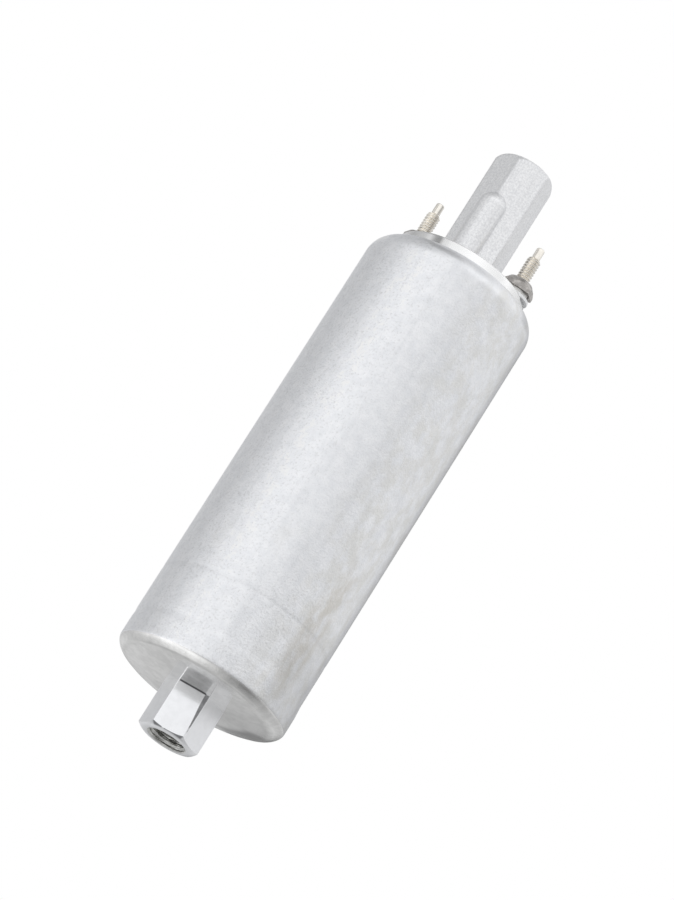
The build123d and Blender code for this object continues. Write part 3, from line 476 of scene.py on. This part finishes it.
# Finishes by the material slot that the record gives each node; the washers and threads have their own
finish_of = {"shell": shell_side}
finish_of["cast"] = material("cap_finish", cap_color, 1.0, cap_roughness, cap_normal)
finish_of["fitting"] = material("fitting_finish", fitting_color, 1.0, fitting_roughness, fitting_normal)
finish_of["stud"] = material("stud_finish", varied((0.90, 0.86, 0.79), 700, 0.06), 1.0,
                             rough(0.26, 900, 0.05))
finish_of["nut"] = material("nut_finish", varied((0.44, 0.42, 0.40), 700, 0.22), 1.0, rough(0.32, 900, 0.08),
                            grain(2500, 0.2, 0.00005))
washer_finish = material("washer_finish", varied((0.66, 0.65, 0.63), 900, 0.20), 1.0, rough(0.42, 900, 0.08))
finish_of["insulator"] = material("insulator_finish", varied((0.90, 0.905, 0.91), 700, 0.04), 0.0, 0.42,
                                  grain(1800, 0.2, 0.00005))
thread_finish = material("thread_finish", varied((0.62, 0.62, 0.60), 1200, 0.10), 1.0, 0.28)

inner_looks = {
    # slot: colour, metallic, roughness
    "moulded": ((0.030, 0.030, 0.033), 0.0, 0.5),
    "rubber": ((0.018, 0.018, 0.018), 0.0, 0.65),
    "pump_metal": ((0.74, 0.74, 0.75), 1.0, 0.32),
    "sintered": ((0.36, 0.35, 0.34), 1.0, 0.42),
    "steel": ((0.62, 0.62, 0.63), 1.0, 0.22),
    "spring": ((0.58, 0.57, 0.55), 1.0, 0.25),
    "bronze": ((0.60, 0.38, 0.20), 1.0, 0.42),
    "lamination": ((0.34, 0.34, 0.36), 1.0, 0.4),
    "copper": ((0.70, 0.30, 0.14), 1.0, 0.3),
    "sleeve": ((0.50, 0.51, 0.53), 1.0, 0.35),
    "ferrite": ((0.055, 0.055, 0.06), 0.0, 0.5),
    "carbon": ((0.025, 0.025, 0.025), 0.0, 0.45),
    "brass": ((0.78, 0.58, 0.27), 1.0, 0.26),
}
for slot, (color, metallic, value) in inner_looks.items():
    finish_of[slot] = material(slot + "_finish", varied(color, 800, 0.08), metallic, rough(value, 700, 0.04),
                               grain(2200, 0.15, 0.00004))

slot_of = {row["node"]: row["material_slot"] for row in frame["record"]["subparts"]}
for name, node in nodes.items():
    node.data.materials.clear()
    node.data.materials.append(washer_finish if name == "lock_washers" else finish_of[slot_of[name]])


# Ways to make pieces
def piece(name, vertices, faces, finishes, face_finish=None, sharp=None):
    """A mesh in millimetres on the housing, smooth but for the edges that turn more than sharp degrees."""
    mesh = bpy.data.meshes.new(name)
    mesh.from_pydata([tuple(v * MM for v in vertex) for vertex in vertices], [], faces)
    for finish in finishes:
        mesh.materials.append(finish)
    if face_finish:
        mesh.polygons.foreach_set("material_index", face_finish)
    mesh.update()
    mesh.validate()
    obj = bpy.data.objects.new(name, mesh)
    scene.collection.objects.link(obj)
    mesh.shade_smooth()
    if sharp:
        mesh.set_sharp_from_angle(angle=radians(sharp))
    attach(obj, "housing")
    return obj


def skin(columns, rows, inward=False, closed=False):
    """Faces between neighbouring columns of points that stand round an axis."""
    faces = []
    for i in range(columns):
        here, there = i * rows, (i + 1) % columns * rows
        for k in range(rows if closed else rows - 1):
            m = (k + 1) % rows
            if inward:
                faces.append((here + k, here + m, there + m, there + k))
            else:
                faces.append((here + k, there + k, there + m, here + m))
    return faces


def arc(cx, cz, rx, rz, start, end, steps):
    turns = [radians(start + (end - start) * i / steps) for i in range(steps + 1)]
    return [(cx + rx * cos(a), cz + rz * sin(a)) for a in turns]


def rounded(points, times=2):
    """Cuts the corners of an open line, keeping its ends."""
    for _ in range(times):
        cut = [points[0]]
        for (r0, z0), (r1, z1) in zip(points, points[1:]):
            cut.append((r0 * 0.75 + r1 * 0.25, z0 * 0.75 + z1 * 0.25))
            cut.append((r0 * 0.25 + r1 * 0.75, z0 * 0.25 + z1 * 0.75))
        points = cut + [points[-1]]
    return points


def lathe(name, profile, marks, finishes, segments=160, sharp=25):
    """Turns a closed profile of (radius, height) round the axis. marks gives each edge's finish."""
    vertices = []
    for i in range(segments):
        a = 2 * pi * i / segments
        vertices += [(r * cos(a), r * sin(a), z) for r, z in profile]
    return piece(name, vertices, skin(segments, len(profile), closed=True), finishes, marks * segments, sharp)


def hexagon(flats, first_corner, corner_radius, crown, across_count=14, corner_count=4):
    """Outline of a hexagon with rounded corners and slightly crowned flats."""
    points = []
    apothem = flats / 2
    half = flats / sqrt(3) / 2
    cut = corner_radius * half / apothem
    for face in range(6):
        face_turn = first_corner + 30 + 60 * face
        normal = (cos(radians(face_turn)), sin(radians(face_turn)))
        edge = (-normal[1], normal[0])
        for i in range(across_count + 1):
            s = -(half - cut) + 2 * (half - cut) * i / across_count
            out = apothem - crown * (s / half) ** 2
            points.append((normal[0] * out + edge[0] * s, normal[1] * out + edge[1] * s))
        corner = radians(face_turn + 30)
        middle = (apothem - crown - corner_radius) / cos(radians(30))
        cx, cy = middle * cos(corner), middle * sin(corner)
        for i in range(1, corner_count):
            a = radians(face_turn + 60 * i / corner_count)
            points.append((cx + corner_radius * cos(a), cy + corner_radius * sin(a)))
    return points


def nose_height(radius):
    """Height of the fitting's rounded nose above its mouth, at that radius."""
    reach = max(0.0, radius - nose_face)
    return nose_radius - sqrt(max(0.0, nose_radius**2 - reach**2))


def thread_depth(phase, flank=0.36, flat=0.14):
    """0 on the crest and 1 at the root, over one pitch."""
    phase %= 1.0
    from_crest = min(phase, 1 - phase)
    return min(1.0, max(0.0, (from_crest - flat / 2) / flank))


def thread_rows(start, end, pitch, per_pitch):
    count = max(2, ceil((end - start) / pitch * per_pitch))
    return [start + (end - start) * i / count for i in range(count + 1)]


def port_thread_radius(a, z, from_mouth):
    """Radius of a port's thread, which runs out at its mouth."""
    lead = min(1.0, max(0.0, from_mouth / port_lead))
    return port_radius - port_thread * (1 - thread_depth(z / port_pitch - a / (2 * pi))) * lead


# Body shell: its end is a little flatter towards the viewer, and its bead stands out to the right
near_end = rounded([(8.3, fitting_z), (12.0, 12.55), (16.0, 12.80), (17.6, 12.92), (19.6, 13.20),
                    (20.7, 13.45), (21.3, 13.95), (22.1, 14.75), (bead_radius, 15.4), (bead_radius, 16.4),
                    (bead_radius, 18.0)])
far_end = rounded([(8.3, fitting_z), (11.0, 12.42), (13.2, 12.62), (16.0, 13.22), (18.6, 13.80),
                   (20.0, 14.15), (20.9, 14.55), (21.8, 15.35), (bead_radius, 16.4), (bead_radius, 17.2),
                   (bead_radius, 18.0)])
shell_profile = [(shell_hole, floor_of_shell_z), (shell_hole, fitting_z)]
end_start = len(shell_profile)
shell_profile += near_end
end_edge = len(shell_profile) - 12
shell_profile += [(bead_radius, 20.3), (bead_radius - 0.01, 20.7), (bead_radius - 0.04, 21.2),
                  (bead_radius - 0.09, 21.75), (shell_radius + 0.005, 22.1), (shell_radius, 22.5)]
shell_profile += [(shell_radius, z) for z in (23.0, 23.5, 24.0, 26, 32)]
groove_steps = 4
for step in range(-groove_steps, groove_steps + 1):
    aside = abs(step) / groove_steps
    sunk = groove_depth * (1 - aside * aside * (3 - 2 * aside))
    shell_profile.append((shell_radius - sunk, groove_z + step * groove_half_width / groove_steps))
shell_profile += [(shell_radius, z) for z in range(38, 129, 6)]
lip_radius = shell_radius - shoulder_width
shell_profile += arc(lip_radius, shoulder_z, shoulder_width, shoulder_height, 0, 90, 22)
shell_profile += arc(lip_radius, shoulder_z + shoulder_height - lip_drop, lip_curl, lip_drop, 90, 270, 10)[1:]
shell_profile += [(shell_bore, shoulder_z), (shell_bore, floor_of_shell_z)]
shell_marks = [1 if 1 <= k < end_edge else 0 for k in range(len(shell_profile))]
shell_segments = 192
shell_mesh = lathe("shell_form", shell_profile, shell_marks, [shell_side, shell_end], shell_segments, 28)
for i in range(shell_segments):
    a = 2 * pi * i / shell_segments
    far = min(1.0, max(0.0, sin(a) * 0.8 + 0.5))
    first = i * len(shell_profile) + end_start
    for k, ((r0, z0), (r1, z1)) in enumerate(zip(near_end, far_end)):
        r, z = r0 + (r1 - r0) * far, z0 + (z1 - z0) * far
        shell_mesh.data.vertices[first + k].co = (r * cos(a) * MM, r * sin(a) * MM, z * MM)
for vertex in shell_mesh.data.vertices:
    outside = hypot(vertex.co.x, vertex.co.y) / MM - shift_radius
    below_top = bead_top_z - vertex.co.z / MM
    if outside > 0 and below_top > 0:
        vertex.co.x += bead_shift * MM * min(1.0, below_top / shift_fade) * min(1.0, outside)
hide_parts("body_shell")


# Inlet fitting: crowned hexagon with a rounded nose, its thread and its shank
outline = hexagon(hex_flats, hex_turn, hex_corner_radius, hex_crown)
thread_levels = thread_rows(0.25, port_depth, port_pitch, 8)[::-1]
nose_steps = 6
face_steps = 8
vertices = []
for x, y in outline:
    radius, a = hypot(x, y), atan2(y, x)
    drop = nose_height(radius)
    ring = [(port_thread_radius(a, z, z - 0.1), z) for z in thread_levels]
    ring += [(mouth_radius, 0.0), (mouth_radius * 0.4 + nose_face * 0.6, 0.0)]
    slope = [nose_face + (radius - nose_face) * i / nose_steps for i in range(nose_steps + 1)]
    ring += [(r, nose_height(r)) for r in slope]
    ring += [(radius, drop + (fitting_z - drop) * i / face_steps) for i in range(1, face_steps + 1)]
    ring.append((shank_radius, fitting_z))
    vertices += [(r * cos(a), r * sin(a), z) for r, z in ring]
thread_part = len(thread_levels)
marks = [1] * thread_part + [0] * (len(ring) - 1 - thread_part)
fitting = piece("fitting_form", vertices, skin(len(outline), len(ring), inward=True),
                [finish_of["fitting"], thread_finish], marks * len(outline), 32)
shank_profile = [(shank_radius, fitting_z), (shank_radius, 16.65), (7.6, 16.65), (7.6, 17.6), (3.9, 17.6),
                 (3.9, port_depth), (port_radius, port_depth), (port_radius, port_depth - 0.1),
                 (5.4, port_depth - 0.1), (5.4, fitting_z)]
lathe("fitting_shank", shank_profile, [0] * len(shank_profile), [thread_finish], 96)
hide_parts("inlet_fitting")


# Outlet port's thread
columns = 96
thread_levels = thread_rows(158.1, 168.8, port_pitch, 8)
vertices = []
for i in range(columns):
    a = 2 * pi * i / columns
    for z in thread_levels:
        r = port_thread_radius(a, z, outlet_z - z)
        vertices.append((r * cos(a), r * sin(a), z))
piece("outlet_thread", vertices, skin(columns, len(thread_levels), inward=True), [thread_finish], None, 40)


# Terminal studs: head in the insulator, rolled thread, plain point
def stud(name, node, azimuth):
    cx, cy = stud_circle * cos(radians(azimuth)), stud_circle * sin(radians(azimuth))
    foot = [(0, 128.4), (2.7, 128.4), (2.7, 130.2), (1.8, 130.2), (1.8, 140.6)]
    levels = thread_rows(140.7, 148.3, stud_pitch, 12)
    chamfer_z = 147.75
    point = [(1.05, 148.32), (1.05, 149.6)] + arc(0.65, 150.9, 0.4, 0.4, 0, 90, 5) + [(0, 151.3)]
    columns = 40
    vertices = []
    for i in range(columns):
        a = 2 * pi * i / columns
        ring = list(foot)
        for z in levels:
            r = stud_radius - stud_thread * thread_depth(z / stud_pitch - a / (2 * pi), 0.40, 0.16)
            ring.append((min(r, stud_radius - max(0.0, z - chamfer_z)), z))
        ring += point
        vertices += [(cx + r * cos(a), cy + r * sin(a), z) for r, z in ring]
    obj = piece(name, vertices, skin(columns, len(ring)), [finish_of["stud"]], None, 50)
    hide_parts(node)


for pole, turn in terminal_turns.items():
    stud("stud_" + pole + "_form", "terminal_stud_" + pole, turn)


# Springs: coils between a still end and a moving end
def coil(node, centre, radius, wire, turns, still, moving):
    """A coil between its still and its moving end."""
    low, high = sorted((still, moving))
    count, around_wire = turns * 28, 10
    rise = (high - low - 2 * wire) / count
    slope = atan2(rise * count, 2 * pi * radius * turns)
    vertices, faces = [], []
    for i in range(count + 1):
        a = 2 * pi * turns * i / count
        z = low + wire + rise * i
        for k in range(around_wire):
            b = 2 * pi * k / around_wire
            out, lift = wire * cos(b), wire * sin(b)
            x = (radius + out) * cos(a) + lift * sin(slope) * sin(a)
            y = (radius + out) * sin(a) - lift * sin(slope) * cos(a)
            vertices.append((centre[0] + x, centre[1] + y, z + lift * cos(slope)))
    for i in range(count):
        here, there = i * around_wire, (i + 1) * around_wire
        for k in range(around_wire):
            m = (k + 1) % around_wire
            faces.append((here + k, here + m, there + m, there + k))
    last = count * around_wire
    faces += [tuple(range(around_wire))[::-1], tuple(range(last, last + around_wire))]
    obj = piece(node + "_form", vertices, faces, [finish_of["spring"]], None, 40)
    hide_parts(node)
    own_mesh(obj)


for pole, turn in terminal_turns.items():
    spot = (brush_circle * cos(radians(turn)), brush_circle * sin(radians(turn)))
    coil("brush_spring_" + pole, spot, radius=1.75, wire=0.4, turns=6,
         still=129.74, moving=122.91)
coil("check_spring", (0, 0), radius=2.7, wire=0.3, turns=5,
     still=154.48, moving=142.76)
coil("relief_spring", (0, relief_circle), radius=1.35, wire=0.3, turns=4,
     still=29.56, moving=35.02)


# World: white to the camera, a soft studio of glows and dark areas to everything else
studio_level = 0.621
lowest_level = 0.02
studio = [
    # azimuth, elevation, how tight, strength
    (-75, 50, 3.0, 0.62),
    (-110, -20, 60.0, -0.56),
    (-154, -40, 8.0, 0.60),
    (28, 40, 8.0, 0.26),
    (80, 0, 60.0, -0.44),
    (-30, -50, 8.0, -0.42),
    (-130, 80, 8.0, -0.72),
    (-130, 0, 20.0, 0.33),
    (70, 20, 60.0, -0.42),
    (86, 60, 20.0, 0.43),
    (-150, 20, 60.0, -0.48),
    (-50, -10, 20.0, -0.44),
    (110, -10, 60.0, 0.23),
    (150, 20, 60.0, -0.20),
    (135, -50, 20.0, -0.18),
    (10, -20, 60.0, 0.26),
    (-15, 30, 60.0, 0.42),
    (50, 10, 60.0, 0.29),
    (75, -50, 60.0, -0.20),
    (120, 50, 60.0, -0.34),
    (90, -20, 60.0, -0.07),
    (-128, 40, 20.0, 0.34),
    (70, -20, 60.0, 0.21),
    (106, -30, 60.0, 0.17),
    (-123, -60, 20.0, 0.34),
    (-180, -20, 8.0, 0.20),
    (100, 10, 60.0, 0.18),
    (-140, -10, 20.0, 0.35),
    (-86, -11, 300.0, -0.9),
    (-168, 19, 200.0, 0.7),
    (-168, -20, 200.0, 0.5),
]
world = bpy.data.worlds.new("world")
world.use_nodes = True
scene.world = world
tree = Tree(world.node_tree)
look = tree.add("ShaderNodeTexCoord").outputs["Generated"]
terms = [studio_level]
for azimuth, elevation, tight, strength in studio:
    dot = tree.add("ShaderNodeVectorMath", operation="DOT_PRODUCT")
    tree.put(dot.inputs[0], look)
    dot.inputs[1].default_value = direction(azimuth, elevation)
    falloff = tree.times(tree.math("SUBTRACT", dot.outputs["Value"], 1.0), tight)
    terms.append(tree.times(tree.math("EXPONENT", falloff), strength))
surround = tree.add("ShaderNodeBackground")
surround.inputs[0].default_value = (0.985, 0.99, 1.0, 1)
tree.put(surround.inputs[1], tree.math("MAXIMUM", tree.total(*terms), lowest_level))
white = tree.add("ShaderNodeBackground")
white.inputs[0].default_value = (1, 1, 1, 1)
path = tree.add("ShaderNodeLightPath")
blend = tree.add("ShaderNodeMixShader")
tree.put(blend.inputs[0], path.outputs["Is Camera Ray"])
tree.put(blend.inputs[1], surround.outputs[0])
tree.put(blend.inputs[2], white.outputs[0])
out = tree.add("ShaderNodeOutputWorld")
tree.put(out.inputs[0], blend.outputs[0])


# Floor: pale, below the photograph's low camera
floor_size, floor_z = 6.0, -0.50
floor_finish = bpy.data.materials.new("floor_finish")
floor_finish.use_nodes = True
tree = Tree(floor_finish.node_tree)
pale = tree.add("ShaderNodeBsdfDiffuse")
pale.inputs[0].default_value = (0.86, 0.86, 0.86, 1)
glow = tree.add("ShaderNodeEmission")
glow.inputs[0].default_value = (1, 1, 1, 1)
glow.inputs[1].default_value = 1.0
path = tree.add("ShaderNodeLightPath")
blend = tree.add("ShaderNodeMixShader")
tree.put(blend.inputs[0], tree.times(path.outputs["Is Camera Ray"], 0.6))
tree.put(blend.inputs[1], pale.outputs[0])
tree.put(blend.inputs[2], glow.outputs[0])
out = tree.add("ShaderNodeOutputMaterial")
tree.put(out.inputs[0], blend.outputs[0])
mesh = bpy.data.meshes.new("floor")
corners = [(-1, -1), (1, -1), (1, 1), (-1, 1)]
mesh.from_pydata([(x * floor_size, y * floor_size, floor_z) for x, y in corners], [], [(0, 1, 2, 3)])
mesh.materials.append(floor_finish)
ground = bpy.data.objects.new("floor", mesh)
scene.collection.objects.link(ground)
ground.visible_glossy = False


# Lamp: wide and weak, from above, aimed at the middle of the pump
middle_height = 0.085
lamp_distance = 1.6
lamp_data = bpy.data.lights.new("key", "AREA")
lamp_data.energy = 1.0
lamp_data.size = 1.2
lamp = bpy.data.objects.new("key", lamp_data)
reach = Vector(direction(-110, 72)) * lamp_distance
lamp.location = reach + Vector((0, 0, middle_height))
lamp.rotation_mode = "QUATERNION"
lamp.rotation_quaternion = reach.to_track_quat("Z", "Y")
scene.collection.objects.link(lamp)
